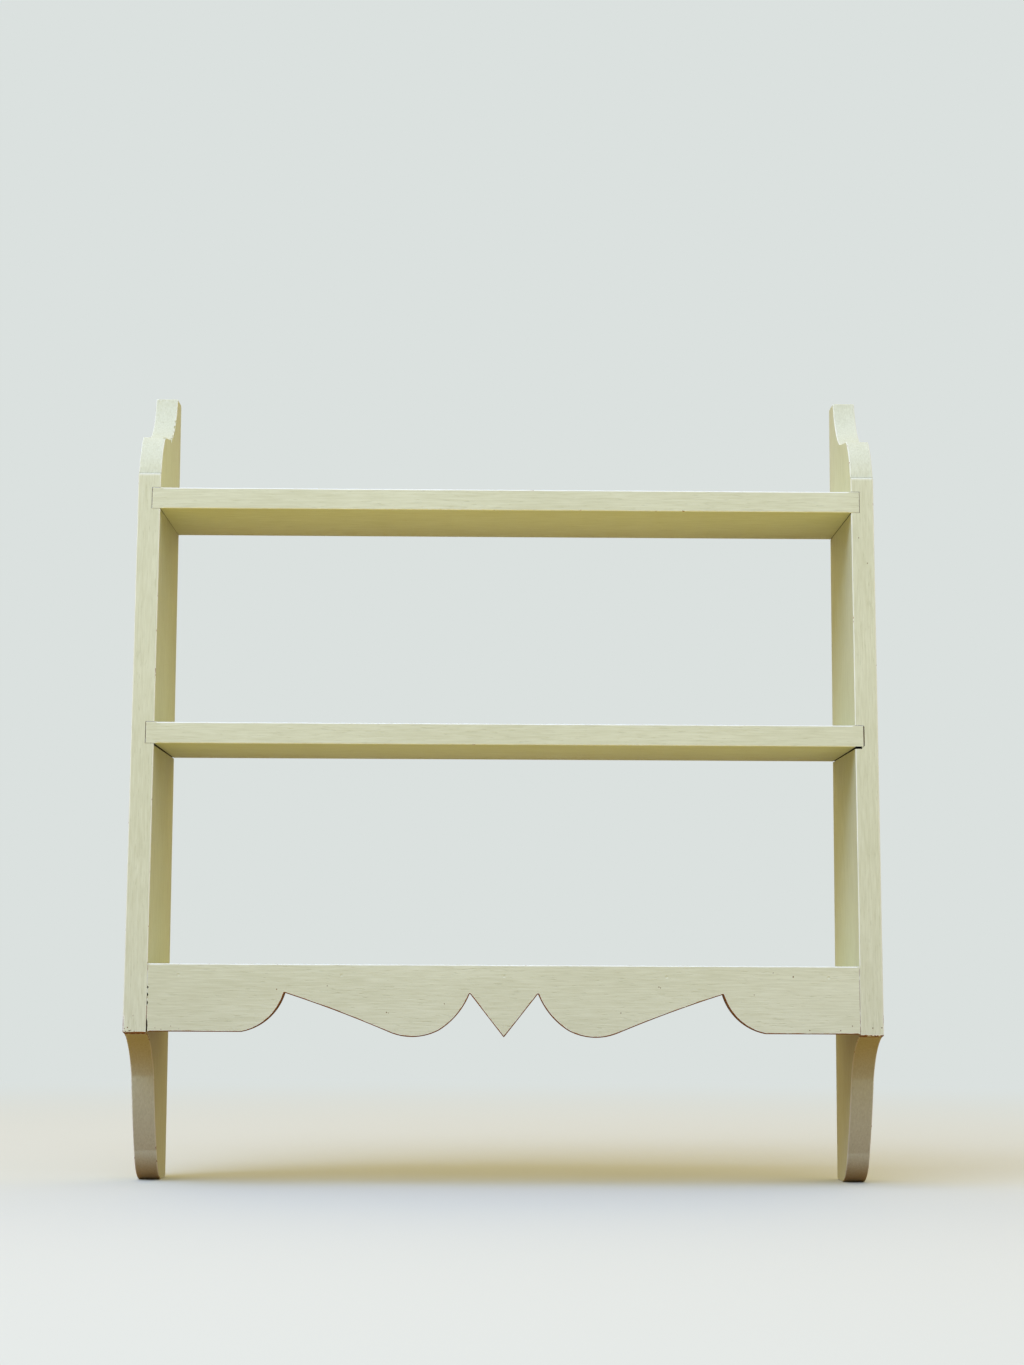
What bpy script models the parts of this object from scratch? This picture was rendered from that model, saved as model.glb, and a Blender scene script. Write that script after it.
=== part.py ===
"""Painted hanging wall shelf.

Two shaped side boards carry a top and a middle shelf in through housings, and a bottom shelf in stopped
housings behind a fretted apron. Nails through the sides hold the shelf ends, pins hold the apron to the
bottom shelf, and two hanger plates let into the top shelf's back edge hang it all on a wall.

Metres, +Z up, +Y towards the wall. The origin lies on the wall, at the centre of the top shelf's back edge.
"""

import math

import bmesh
import bpy
from mathutils import Matrix, Vector

# Boards
OVERALL_WIDTH = 0.610
SIDE_THICKNESS = 0.0188
SHELF_THICKNESS = 0.0176
BAY_HEIGHT = 0.1784  # clear height between one shelf and the next
HOUSING_DEPTH = 0.0072  # how far a shelf end goes into a side
ARRIS = 0.0006  # width of the eased edges
FIT_GAP = 0.0003  # between pieces that touch
CUT_REACH = 0.002  # how far a cutter runs past the face it opens

# Front edge of the sides, which leans back as it rises: its depth from the wall at two levels
APRON_DEPTH = 0.144  # at the apron's straight lower edge
SHOULDER_DEPTH = 0.1245  # at the shoulder below the ornament

# Ornament at the top of a side, from its shoulder up to its crest against the wall
SHOULDER_RISE = 0.012  # above the top shelf
OVOLO_WIDTH = 0.0235
OVOLO_HEIGHT = 0.0355
OVOLO_BULGE = 0.0038
LEDGE_RISE = 0.0065
COVE_WIDTH = 0.038
COVE_HEIGHT = 0.0445
COVE_BULGE = 0.0066
CREST_WIDTH = 0.024

# Bracket at the foot of a side, from the apron's lower corner down to its tip against the wall
SIDE_LIP = 0.0012  # how far a side hangs below the apron's end
SWEEP_HEIGHT = 0.036
SWEEP_BULGE = 0.0083
SHANK_WIDTH = 0.026
SHANK_HEIGHT = 0.062
SHANK_BULGE = 0.0020
TIP_WIDTH = 0.032
TIP_HEIGHT = 0.0255
TIP_BULGE = 0.0055
SOLE_WIDTH = 0.030
HEEL_ROUND = 0.003  # rounding of both corners against the wall

# Apron and the fretting of its lower edge, measured out from the middle
APRON_HEIGHT = 0.0542
APRON_THICKNESS = 0.016
DROP_HALF_WIDTH = 0.0275  # middle drop, at its cusps
DROP_HANG = 0.0036  # its tip below the straight edge
CUSP_HEIGHT = 0.0313  # all cusps, above the straight edge
LOBE_FLANK_WIDTH = 0.0245
LOBE_FLANK_BULGE = 0.0031
LOBE_HEEL_RISE = 0.0018
LOBE_BOWL_WIDTH = 0.040
LOBE_BOWL_BULGE = 0.0045
LOBE_TOE_RISE = 0.0003
LOBE_RAMP_WIDTH = 0.0843
LOBE_RAMP_BULGE = 0.0010
SCALLOP_WIDTH = 0.0340
SCALLOP_BULGE = 0.0065

# Nails through the sides into the shelf ends
NAIL_LENGTH = 0.040
NAIL_RADIUS = 0.0011
NAIL_HEAD_RADIUS = 0.0016
NAIL_HEAD_LENGTH = 0.0015
NAIL_POINT = 0.004
NAIL_SET = 0.0015  # head below the board's face
NAIL_INSET = 0.028  # from a shelf's front and back edges

# Pins through the apron into the bottom shelf
PIN_COUNT = 5
PIN_LENGTH = 0.030
PIN_RADIUS = 0.0008
PIN_HEAD_RADIUS = 0.0012
PIN_HEAD_LENGTH = 0.001
PIN_POINT = 0.003
PIN_SET = 0.001
PIN_INSET = 0.0249  # outer pins, from the sides

# Hanger plates on the top shelf's back edge, and their countersunk screws
HANGER_INSET = 0.062  # plate centre, from a side's inner face
PLATE_WIDTH = 0.019
PLATE_THICKNESS = 0.0016
PLATE_FOOT_INSET = 0.002  # plate's foot above the shelf's underside
LUG_RISE = 0.010  # hanging hole above the shelf's top
HANG_HOLE_RADIUS = 0.0032
SCREW_SPACING = 0.0095
SCREW_LENGTH = 0.020
SCREW_RADIUS = 0.0014
SCREW_HEAD_RADIUS = 0.0028
SCREW_HEAD_LENGTH = 0.0015
SCREW_POINT = 0.004

# Number of straight pieces in a curve, and of sides in a round piece
ARC_STEPS = 10
SMALL_ARC_STEPS = 3
ROUND_SIDES = 12
SHARP_ANGLE = math.radians(35)  # edges turning by more are eased on boards and shaded sharp on round pieces
MERGE_DISTANCE = 1e-7

# Sizes that follow from the ones above
HALF_WIDTH = OVERALL_WIDTH / 2
INNER_HALF = HALF_WIDTH - SIDE_THICKNESS
SHELF_REACH = INNER_HALF + HOUSING_DEPTH - FIT_GAP
HALF_SHELF = SHELF_THICKNESS / 2
SHELF_PITCH = BAY_HEIGHT + SHELF_THICKNESS
BOTTOM_LEVEL = -2 * SHELF_PITCH
APRON_TOP = BOTTOM_LEVEL + HALF_SHELF
APRON_FOOT = APRON_TOP - APRON_HEIGHT
SHOULDER_LEVEL = HALF_SHELF + SHOULDER_RISE

# Each shelf's name, the level of its middle, and how far it stops behind the sides' front edge
SHELVES = (
    ("top", 0.0, 0.0),
    ("middle", -SHELF_PITCH, 0.0),
    ("bottom", BOTTOM_LEVEL, APRON_THICKNESS + FIT_GAP),
)
SIDES = (("left", -1), ("right", 1))


def front_depth(z):
    """Distance from the wall to the sides' leaning front edge, at height z."""
    lean = (APRON_DEPTH - SHOULDER_DEPTH) / (SHOULDER_LEVEL - APRON_FOOT)
    return APRON_DEPTH - lean * (z - APRON_FOOT)


def arc(start, end, bulge, steps=ARC_STEPS):
    """Points after start on the circular arc to end, which stands bulge off its chord, left of the way."""
    first = Vector(start)
    chord = Vector(end) - first
    leftward = Vector((-chord.y, chord.x)).normalized()
    radius = (chord.length_squared / 4 + bulge**2) / (2 * bulge)
    centre = first + chord / 2 + leftward * (bulge - radius)
    turn = -4 * math.atan2(2 * bulge, chord.length)
    spoke = first - centre
    return [tuple(centre + Matrix.Rotation(turn * i / steps, 2) @ spoke) for i in range(1, steps + 1)]


def side_outline():
    """A side's edge as (depth from the wall, height), down its front, along its foot and up the wall."""
    crest = SHOULDER_LEVEL + OVOLO_HEIGHT + LEDGE_RISE + COVE_HEIGHT
    cove_foot = (CREST_WIDTH + COVE_WIDTH, crest - COVE_HEIGHT)
    nose = (SHOULDER_DEPTH - OVOLO_WIDTH, SHOULDER_LEVEL + OVOLO_HEIGHT)
    shoulder = (SHOULDER_DEPTH, SHOULDER_LEVEL)
    lip = (front_depth(APRON_FOOT - SIDE_LIP), APRON_FOOT - SIDE_LIP)
    sweep_end = (SOLE_WIDTH + TIP_WIDTH + SHANK_WIDTH, lip[1] - SWEEP_HEIGHT)
    shank_end = (SOLE_WIDTH + TIP_WIDTH, sweep_end[1] - SHANK_HEIGHT)
    sole = shank_end[1] - TIP_HEIGHT
    points = [(CREST_WIDTH, crest)]
    points += arc(points[-1], cove_foot, -COVE_BULGE)
    points += [nose]
    points += arc(nose, shoulder, OVOLO_BULGE)
    points += [lip]
    points += arc(lip, sweep_end, -SWEEP_BULGE)
    points += arc(sweep_end, shank_end, SHANK_BULGE)
    points += arc(shank_end, (SOLE_WIDTH, sole), TIP_BULGE)
    round_bulge = HEEL_ROUND * (1 - math.sqrt(0.5))
    points += [(HEEL_ROUND, sole)]
    points += arc(points[-1], (0, sole + HEEL_ROUND), round_bulge, SMALL_ARC_STEPS)
    points += [(0, crest - HEEL_ROUND)]
    points += arc(points[-1], (HEEL_ROUND, crest), round_bulge, SMALL_ARC_STEPS)
    return points


def shelf_outline(level, set_back=0.0, grow=0.0):
    """A shelf's end as (depth, height), grown all round; set_back is how far it stops behind the front."""
    low = level - HALF_SHELF - grow
    high = level + HALF_SHELF + grow
    front_low = front_depth(low) - set_back + grow
    front_high = front_depth(high) - set_back + grow
    return [(-grow, low), (front_low, low), (front_high, high), (-grow, high)]


def apron_outline():
    """The apron's edge as (across, height), from the middle drop's tip round its right half and back."""
    drop_cusp = (DROP_HALF_WIDTH, APRON_FOOT + CUSP_HEIGHT)
    heel = (drop_cusp[0] + LOBE_FLANK_WIDTH, APRON_FOOT + LOBE_HEEL_RISE)
    toe = (heel[0] + LOBE_BOWL_WIDTH, APRON_FOOT + LOBE_TOE_RISE)
    scallop_cusp = (toe[0] + LOBE_RAMP_WIDTH, APRON_FOOT + CUSP_HEIGHT)
    scallop_end = (scallop_cusp[0] + SCALLOP_WIDTH, APRON_FOOT)
    half = [drop_cusp]
    half += arc(drop_cusp, heel, -LOBE_FLANK_BULGE)
    half += arc(heel, toe, -LOBE_BOWL_BULGE)
    half += arc(toe, scallop_cusp, LOBE_RAMP_BULGE)
    half += arc(scallop_cusp, scallop_end, -SCALLOP_BULGE)
    half += [(INNER_HALF - FIT_GAP, APRON_FOOT), (INNER_HALF - FIT_GAP, APRON_TOP)]
    mirrored = [(-x, z) for x, z in reversed(half)]
    return [(0, APRON_FOOT - DROP_HANG)] + half + mirrored


def plate_outline():
    """A hanger plate's edge as (across, height): a straight foot and a round lug."""
    half = PLATE_WIDTH / 2
    foot = PLATE_FOOT_INSET - HALF_SHELF
    lug = HALF_SHELF + LUG_RISE
    return [(-half, foot), (half, foot), (half, lug)] + arc((half, lug), (-half, lug), -half)


def fastener_profile(head_radius, neck_radius, head_length, radius, length, point, grow=0.0, reach=0.0):
    """A nail's or screw's half section as (radius, way in), grown for its hole, which opens reach outside."""
    return [
        (0, -reach),
        (head_radius + grow, -reach),
        (head_radius + grow, 0),
        (neck_radius + grow, head_length + grow),
        (radius + grow, head_length + grow),
        (radius + grow, length - point),
        (0, length + grow),
    ]


def nail_profile(grow=0.0, reach=0.0):
    sizes = (NAIL_HEAD_RADIUS, NAIL_HEAD_RADIUS, NAIL_HEAD_LENGTH, NAIL_RADIUS, NAIL_LENGTH, NAIL_POINT)
    return fastener_profile(*sizes, grow, reach)


def pin_profile(grow=0.0, reach=0.0):
    sizes = (PIN_HEAD_RADIUS, PIN_HEAD_RADIUS, PIN_HEAD_LENGTH, PIN_RADIUS, PIN_LENGTH, PIN_POINT)
    return fastener_profile(*sizes, grow, reach)


def screw_profile(grow=0.0, reach=0.0):
    sizes = (SCREW_HEAD_RADIUS, SCREW_RADIUS, SCREW_HEAD_LENGTH, SCREW_RADIUS, SCREW_LENGTH, SCREW_POINT)
    return fastener_profile(*sizes, grow, reach)


def finish(name, colour, roughness, metallic=0.0):
    material = bpy.data.materials.new(name)
    material.use_nodes = True
    shader = material.node_tree.nodes["Principled BSDF"]
    shader.inputs["Base Color"].default_value = (*colour, 1.0)
    shader.inputs["Roughness"].default_value = roughness
    shader.inputs["Metallic"].default_value = metallic
    return material


def add_object(name, bm, material):
    """Turn a bmesh into a named object of the shelf."""
    bmesh.ops.recalc_face_normals(bm, faces=bm.faces)
    mesh = bpy.data.meshes.new(name)
    bm.to_mesh(mesh)
    bm.free()
    obj = bpy.data.objects.new(name, mesh)
    bpy.context.scene.collection.objects.link(obj)
    if material is None:
        obj.hide_render = True
        obj.display_type = "WIRE"
    else:
        mesh.materials.append(material)
    return obj


def prism(name, near, far, material=None):
    """Solid between two outlines of as many points; without a material it is a cutter."""
    bm = bmesh.new()
    ends = [[bm.verts.new(point) for point in outline] for outline in (near, far)]
    for end in ends:
        bm.faces.new(end)
    for i in range(len(near)):
        bm.faces.new((ends[0][i - 1], ends[0][i], ends[1][i], ends[1][i - 1]))
    return add_object(name, bm, material)


def across(name, outline, x_from, x_to, material=None):
    """Solid of a (depth, height) outline, run across from one x to another."""
    near, far = ([(x, -depth, z) for depth, z in outline] for x in (x_from, x_to))
    return prism(name, near, far, material)


def turned(name, profile, head, way, material=None):
    """Round solid of a (radius, way in) profile, with its head at a point and its shank along a direction."""
    bm = bmesh.new()
    verts = [bm.verts.new((radius, 0, distance)) for radius, distance in profile]
    edges = [bm.edges.new(pair) for pair in zip(verts, verts[1:])]
    bmesh.ops.spin(
        bm,
        geom=verts + edges,
        axis=(0, 0, 1),
        cent=(0, 0, 0),
        angle=math.tau,
        steps=ROUND_SIDES,
        use_merge=True,
    )
    bmesh.ops.remove_doubles(bm, verts=bm.verts, dist=MERGE_DISTANCE)
    obj = add_object(name, bm, material)
    obj.location = head
    obj.rotation_euler = Vector(way).to_track_quat("Z", "Y").to_euler()
    obj.data.shade_smooth()
    obj.data.set_sharp_from_angle(angle=SHARP_ANGLE)
    return obj


def ease(board):
    bevel = board.modifiers.new("eased edges", "BEVEL")
    bevel.width = ARRIS
    bevel.segments = 2
    bevel.limit_method = "ANGLE"
    bevel.angle_limit = SHARP_ANGLE


def cut(board, cutter):
    modifier = board.modifiers.new(cutter.name, "BOOLEAN")
    modifier.operation = "DIFFERENCE"
    modifier.object = cutter


def fasten(name, profile, head, way, material, boards, reach):
    """A nail, pin or screw and its hole through the boards it holds."""
    hole = turned(f"{name}_hole", profile(FIT_GAP, reach), head, way)
    for board in boards:
        cut(board, hole)
    return turned(name, profile(), head, way, material)


def make_sides():
    paint = finish("side_paint", (0.63, 0.65, 0.49), 0.5)
    sides = {}
    for name, sign in SIDES:
        sides[name] = across(f"{name}_side", side_outline(), sign * INNER_HALF, sign * HALF_WIDTH, paint)
        ease(sides[name])
    return sides


def make_shelves(sides):
    """The three shelves, and the housings that they go into."""
    paint = finish("shelf_paint", (0.62, 0.64, 0.48), 0.5)
    shelves = {}
    for name, level, set_back in SHELVES:
        outline = shelf_outline(level, set_back)
        shelves[name] = across(f"{name}_shelf", outline, -SHELF_REACH, SHELF_REACH, paint)
        ease(shelves[name])
        low, front_low, front_high, high = shelf_outline(level, set_back, FIT_GAP)
        past_front = CUT_REACH if set_back == 0 else 0
        housing = [
            (low[0] - CUT_REACH, low[1]),
            (front_low[0] + past_front, front_low[1]),
            (front_high[0] + past_front, front_high[1]),
            (high[0] - CUT_REACH, high[1]),
        ]
        for side, sign in SIDES:
            mouth = sign * (INNER_HALF - CUT_REACH)
            floor = sign * (INNER_HALF + HOUSING_DEPTH)
            cut(sides[side], across(f"{name}_{side}_housing", housing, mouth, floor))
    return shelves


def make_apron():
    paint = finish("apron_paint", (0.61, 0.63, 0.47), 0.5)
    outline = apron_outline()
    front = [(x, -front_depth(z), z) for x, z in outline]
    back = [(x, APRON_THICKNESS - front_depth(z), z) for x, z in outline]
    apron = prism("apron", front, back, paint)
    ease(apron)
    return apron


def drive_nails(sides, shelves):
    """Two nails into each end of each shelf, near its back and front edges."""
    steel = finish("nail_steel", (0.16, 0.14, 0.12), 0.55, 1.0)
    for shelf, level, set_back in SHELVES:
        front = front_depth(level) - set_back - NAIL_INSET
        for side, sign in SIDES:
            for place, depth in (("front", front), ("back", NAIL_INSET)):
                fasten(
                    f"{shelf}_{side}_{place}_nail",
                    nail_profile,
                    (sign * (HALF_WIDTH - NAIL_SET), -depth, level),
                    (-sign, 0, 0),
                    steel,
                    (sides[side], shelves[shelf]),
                    NAIL_SET + CUT_REACH,
                )


def drive_pins(apron, bottom_shelf):
    """A row of pins through the apron into the bottom shelf's front edge."""
    steel = finish("pin_steel", (0.18, 0.16, 0.14), 0.5, 1.0)
    first = PIN_INSET - INNER_HALF
    spacing = 2 * (INNER_HALF - PIN_INSET) / (PIN_COUNT - 1)
    head = PIN_SET - front_depth(BOTTOM_LEVEL)
    for i in range(PIN_COUNT):
        fasten(
            f"apron_pin_{i + 1}",
            pin_profile,
            (first + spacing * i, head, BOTTOM_LEVEL),
            (0, 1, 0),
            steel,
            (apron, bottom_shelf),
            PIN_SET + CUT_REACH,
        )


def fit_hangers(top_shelf):
    """The two hanger plates, let in flush with the top shelf's back edge, and their screws."""
    plate_steel = finish("plate_steel", (0.46, 0.43, 0.37), 0.42, 1.0)
    screw_steel = finish("screw_steel", (0.40, 0.37, 0.31), 0.4, 1.0)
    outline = plate_outline()
    half_recess = PLATE_WIDTH / 2 + FIT_GAP
    recess_foot = PLATE_FOOT_INSET - HALF_SHELF - FIT_GAP
    recess_top = HALF_SHELF + CUT_REACH
    recess = [
        (-CUT_REACH, recess_foot),
        (PLATE_THICKNESS + FIT_GAP, recess_foot),
        (PLATE_THICKNESS + FIT_GAP, recess_top),
        (-CUT_REACH, recess_top),
    ]
    for side, sign in SIDES:
        centre = sign * (INNER_HALF - HANGER_INSET)
        outer = [(centre + x, 0, z) for x, z in outline]
        inner = [(centre + x, -PLATE_THICKNESS, z) for x, z in outline]
        plate = prism(f"{side}_hanger_plate", outer, inner, plate_steel)
        cut(top_shelf, across(f"{side}_hanger_recess", recess, centre - half_recess, centre + half_recess))
        hole = [(0, -CUT_REACH), (HANG_HOLE_RADIUS, -CUT_REACH)]
        hole += [(HANG_HOLE_RADIUS, PLATE_THICKNESS + CUT_REACH), (0, PLATE_THICKNESS + CUT_REACH)]
        cut(plate, turned(f"{side}_hang_hole", hole, (centre, 0, HALF_SHELF + LUG_RISE), (0, -1, 0)))
        for number, offset in ((1, -SCREW_SPACING / 2), (2, SCREW_SPACING / 2)):
            fasten(
                f"{side}_hanger_screw_{number}",
                screw_profile,
                (centre + offset, 0, 0),
                (0, -1, 0),
                screw_steel,
                (plate, top_shelf),
                CUT_REACH,
            )


def main():
    for obj in list(bpy.data.objects):
        bpy.data.objects.remove(obj)
    sides = make_sides()
    shelves = make_shelves(sides)
    apron = make_apron()
    drive_nails(sides, shelves)
    drive_pins(apron, shelves["bottom"])
    fit_hangers(shelves["top"])
    shelf = bpy.data.objects.new("wall_shelf", None)
    bpy.context.scene.collection.objects.link(shelf)
    for obj in bpy.context.scene.collection.objects:
        if obj is not shelf:
            obj.parent = shelf


main()
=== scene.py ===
"""Looks of a painted hanging wall shelf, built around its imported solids.

The boards are rebuilt with rounded, rubbed arrises, loose housings and filled nail holes, and get a brushed
eggshell paint. The hanger plates get countersinks and slotted screws. Metres, +Z up, +Y towards the wall.
"""

import math
from collections import namedtuple

import bmesh
import bpy
from bpy.props import FloatProperty, FloatVectorProperty, PointerProperty
from mathutils import Matrix, Vector, noise


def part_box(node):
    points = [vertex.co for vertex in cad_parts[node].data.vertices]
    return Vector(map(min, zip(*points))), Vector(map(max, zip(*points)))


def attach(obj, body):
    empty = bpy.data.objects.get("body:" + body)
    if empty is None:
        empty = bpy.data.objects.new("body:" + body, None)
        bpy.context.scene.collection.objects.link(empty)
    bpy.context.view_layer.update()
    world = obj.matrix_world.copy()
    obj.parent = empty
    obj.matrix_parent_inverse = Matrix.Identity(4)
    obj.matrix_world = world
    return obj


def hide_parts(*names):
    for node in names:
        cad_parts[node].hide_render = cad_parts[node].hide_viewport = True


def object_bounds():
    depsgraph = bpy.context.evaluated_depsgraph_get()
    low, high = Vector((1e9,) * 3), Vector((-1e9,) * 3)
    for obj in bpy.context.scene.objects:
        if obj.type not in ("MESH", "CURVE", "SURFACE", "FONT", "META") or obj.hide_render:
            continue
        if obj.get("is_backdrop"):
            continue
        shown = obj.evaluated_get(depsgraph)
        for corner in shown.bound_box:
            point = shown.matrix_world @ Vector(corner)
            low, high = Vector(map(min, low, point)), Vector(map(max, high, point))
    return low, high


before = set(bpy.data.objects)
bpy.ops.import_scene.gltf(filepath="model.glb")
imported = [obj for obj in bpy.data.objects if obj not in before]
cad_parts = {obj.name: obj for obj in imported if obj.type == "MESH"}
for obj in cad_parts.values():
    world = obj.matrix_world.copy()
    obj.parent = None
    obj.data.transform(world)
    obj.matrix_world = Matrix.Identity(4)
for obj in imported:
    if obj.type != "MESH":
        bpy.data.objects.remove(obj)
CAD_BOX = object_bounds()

bl_info = {
    "name": "Painted Wall Shelf",
    "version": (1, 0, 0),
    "blender": (4, 5, 0),
    "location": "3D View > Sidebar > Wall Shelf",
    "description": "Dresses a packed wall shelf with worn painted boards, hangers and a studio",
    "category": "Object",
}

# Places that the frame gives
SIDE_LOW, SIDE_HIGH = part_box("right_side")
INNER_HALF = SIDE_LOW.x
HALF_WIDTH = SIDE_HIGH.x
SOLE = SIDE_LOW.z
CREST = SIDE_HIGH.z
SHELF_BOXES = {name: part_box(f"{name}_shelf") for name in ("top", "middle", "bottom")}
SHELF_REACH = SHELF_BOXES["top"][1].x
SHELF_TOP = SHELF_BOXES["top"][1].z
APRON_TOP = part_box("apron")[1].z
APRON_HALF = INNER_HALF - 0.0001  # paint all but bridges its butt joints

# Front edge of the sides, which leans back as it rises: its depth from the wall at two levels
APRON_DEPTH = 0.144
SHOULDER_DEPTH = 0.1245
SHOULDER_LEVEL = SHELF_TOP + 0.012

# Ornament at the top of a side
OVOLO_WIDTH = 0.0235
OVOLO_HEIGHT = 0.0355
OVOLO_BULGE = 0.0038
SHOULDER_LEDGE = 0.0022  # step from the front edge back to the ovolo's foot
COVE_WIDTH = 0.038
COVE_HEIGHT = 0.0445
COVE_BULGE = 0.0066
CREST_WIDTH = 0.024

# Bracket at the foot of a side
APRON_FOOT = APRON_TOP - 0.0542
LIP_LEVEL = APRON_FOOT - 0.0012
SWEEP_HEIGHT = 0.036
SWEEP_BULGE = 0.0083
SHANK_WIDTH = 0.026
SHANK_HEIGHT = 0.062
SHANK_BULGE = 0.0020
TIP_WIDTH = 0.032
TIP_BULGE = 0.0055
SOLE_WIDTH = 0.030
HEEL_ROUND = 0.003

# Fretting of the apron's lower edge, measured out from the middle
APRON_THICKNESS = 0.016
DROP_HALF_WIDTH = 0.0275
DROP_HANG = 0.0036
CUSP_LEVEL = APRON_FOOT + 0.0313
LOBE_FLANK_WIDTH = 0.0245
LOBE_FLANK_BULGE = 0.0031
LOBE_HEEL_RISE = 0.0018
LOBE_BOWL_WIDTH = 0.040
LOBE_BOWL_BULGE = 0.0045
LOBE_TOE_RISE = 0.0003
LOBE_RAMP_WIDTH = 0.0843
LOBE_RAMP_BULGE = 0.0010
SCALLOP_WIDTH = 0.0340
SCALLOP_BULGE = 0.0065

# Shelf ends in their housings, by shelf and side: how rubbed the end's outline is, the gap that has opened
# under the shelf at its front and at the wall, how far behind the front edge that gap starts, the gap past
# the shelf's end, and the rounding of the end's corners
Joint = namedtuple("Joint", "rubbing front_gap wall_gap start end_gap corner")
JOINTS = {
    ("top", -1): Joint(0.6, 0.0006, 0.0003, 0.0012, 0.0003, 0.0003),
    ("top", 1): Joint(0.5, 0.0009, 0.0005, 0.0012, 0.00025, 0.0003),
    ("middle", -1): Joint(0.6, 0.0017, 0.0008, 0.0006, 0.0003, 0.0003),
    ("middle", 1): Joint(1.0, 0.0016, 0.0008, -0.003, 0.0007, 0.0016),
    ("bottom", -1): Joint(0.3, 0.0003, 0.0003, 0.0, 0.0002, 0.0003),
    ("bottom", 1): Joint(0.3, 0.0003, 0.0003, 0.0, 0.0002, 0.0003),
}
GAP_DEPTH = 0.0055  # into a side
GAP_RELIEF = 0.0004  # thin hollow cut in the shelf above an open gap, whose near-black pine is dust and painted shade
GAP_OVERLAP = 0.001  # how far a gap's cutter runs up into the shelf's place
RELIEF_INSET = 0.0001  # from a side's inner face to where the relief starts
END_BAND = 0.0002  # how near to a shelf's end its outline counts as the end

# Pits in the apron's front: across, height and radius
APRON_PITS = (
    (-0.2790, -0.4345, 0.0004),
    (-0.2742, -0.4356, 0.0004),
    (-0.2665, -0.4330, 0.0004),
    (-0.2600, -0.4352, 0.0003),
    (-0.1823, -0.4034, 0.0006),
    (-0.1419, -0.4006, 0.0005),
    (-0.0941, -0.4215, 0.0006),
    (-0.0926, -0.4219, 0.0004),
    (-0.0478, -0.4145, 0.0005),
    (0.0938, -0.4211, 0.0006),
    (0.1245, -0.4003, 0.0006),
    (0.1258, -0.4010, 0.0005),
    (0.2010, -0.4062, 0.0005),
    (0.2165, -0.3886, 0.0005),
    (0.2326, -0.3917, 0.0008),
    (0.2454, -0.4343, 0.0006),
    (0.2702, -0.4343, 0.0006),
    (0.2796, -0.4306, 0.0006),
)

# Slivers lost along the apron's left butt joint: shares of the way down at which each starts and ends
CRACKS = (
    (0.33, 0.37),
    (0.43, 0.49),
    (0.55, 0.61),
    (0.80, 1.03),
)
CRACK_WIDTH = 0.0011
CRACK_WAVES = 0.002  # length of the ragged waves in their edges
OPEN_JOINT = 0.03  # height above the apron's foot up to which that joint is worn open

# Pits in the front edges of the sides: across, height and radius
SIDE_PITS = {
    -1: (
        (-0.3010, -0.4342, 0.0006),
        (-0.2995, -0.4368, 0.0007),
        (-0.2983, -0.4364, 0.0005),
        (-0.3026, -0.4374, 0.0006),
        (-0.3034, -0.4350, 0.0005),
        (-0.2955, -0.4372, 0.0005),
        (-0.2968, -0.4249, 0.0004),
    ),
    1: (
        (0.2960, -0.4321, 0.0006),
        (0.3033, -0.4319, 0.0006),
        (0.2921, -0.0302, 0.0005),
        (0.2990, -0.0515, 0.0005),
    ),
}

# Chips in the left ornament's inner edge: share of the way down its cove, and radius
CHIPS = (
    (0.42, 0.0016),
    (0.55, 0.0022),
    (0.66, 0.0017),
    (0.78, 0.0026),
    (0.90, 0.0022),
    (1.0, 0.0034),
    (1.12, 0.0030),
)
CHIP_LEDGE = 0.12  # share past the cove's foot at which a chip lies on the ovolo's nose
CHIP_INWARD = 0.3  # how far a chip's middle lies off the side's inner face, in radii
CHIP_OUTWARD = 0.2  # and off the cove, both forwards and upwards
CHIP_RAGGEDNESS = 0.35  # how far its surface strays, in radii
CHIP_ROUGHNESS = 1.7  # waves of that surface in a radius

# Stretches of the boards' edges that are worn or rounded in their own way
LOW_CORNER_DEPTH = 0.12  # from the wall to where a side's lower front corner starts
LOW_CORNER_RISE = 0.012  # and its height above the apron's foot
LIP_DEPTH = 0.13  # from the wall to where the lip is rubbed
LIP_BAND = 0.0011  # above and below the lip
SHOULDER_BAND = 0.0014  # above and below the shoulder
APRON_BAND = 0.01  # behind the front edge, where the apron's end lies flush
TOP_BAND = 0.001  # below the apron's top
BACK_BAND = 0.002  # from the wall and from the sole

# Radii of the hollows over sunk heads, and a pit's shape in shares of its listed radius
NAIL_HOLLOW = 0.0024
PIN_HOLLOW = 0.0014
SIDE_PIT_DEPTH = 0.5
APRON_PIT_WIDTH = 0.75
APRON_PIT_DEPTH = 0.4

# Hanger plates and screws
PLATE_CORNER = 0.001
PLATE_ARRIS = 0.0002
PLATE_SPACING = 0.001  # of points along a plate's edge
HANG_BORE = 0.0032
HOLE_RIM = 0.0003  # chamfer round a hole
HEAD_SINK = 0.00015  # of the slotted head below the face of the frame's plain one
HEAD_CHAMFER = 0.0003
HEAD_TAPER = 0.55  # depth of a countersunk head, in head radii
SCREW_POINT = 0.004
SLOT_HALF_WIDTH = 0.0004
SLOT_DEPTH = 0.0009  # from that same face
SLOT_REACH = 0.001  # of the slot's cutter, out past it

# Meshing
ARC_STEPS = 24
ARRIS_STEPS = 4
CORNER_STEPS = 4
ROUND_SIDES = 28
POINT_SPACING = 0.0015  # along a board's edge
SOFT_CORNER = math.radians(25)  # corners that turn by more are rounded
SHARP_EDGE = math.radians(32)
CORNER_SHARE = 0.45  # of a stretch, the most that a rounded corner takes
MITRE_LIMIT = 0.4  # keeps the arris from reaching too far inward at a sharp corner
SEED_STEP = 7.3  # between the noise of one seed and of the next
CUT_REACH = 0.003  # how far a cutter runs past the face it opens

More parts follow.
